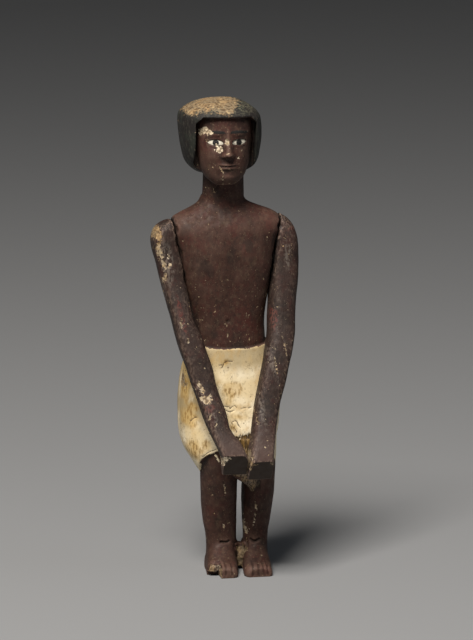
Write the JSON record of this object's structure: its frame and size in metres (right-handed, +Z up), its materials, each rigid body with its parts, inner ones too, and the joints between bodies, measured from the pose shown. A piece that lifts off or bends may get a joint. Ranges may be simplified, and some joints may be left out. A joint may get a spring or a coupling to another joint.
{
  "type": "painted wooden tomb model figure",
  "caption": "Standing painted wooden figure from a tomb model, in a short bobbed wig and knee-length kilt, knees slightly bent, arms reaching down with fists together.",
  "frame": {"origin": "on the floor, below the middle of the whole figure's bounding box", "axes": "+Z up from the soles to the crown, -Y the way the figure faces, -X its right side"},
  "size_m": [0.0804, 0.0708, 0.26],
  "materials": {
    "painted_body": "worn matt paint over plaster on wood",
    "painted_arm": "worn matt paint over plaster on wood"
  },
  "bodies": {
    "root": {"body": "painted_body", "arm_right": "painted_arm", "arm_left": "painted_arm"}
  },
  "joints": []
}
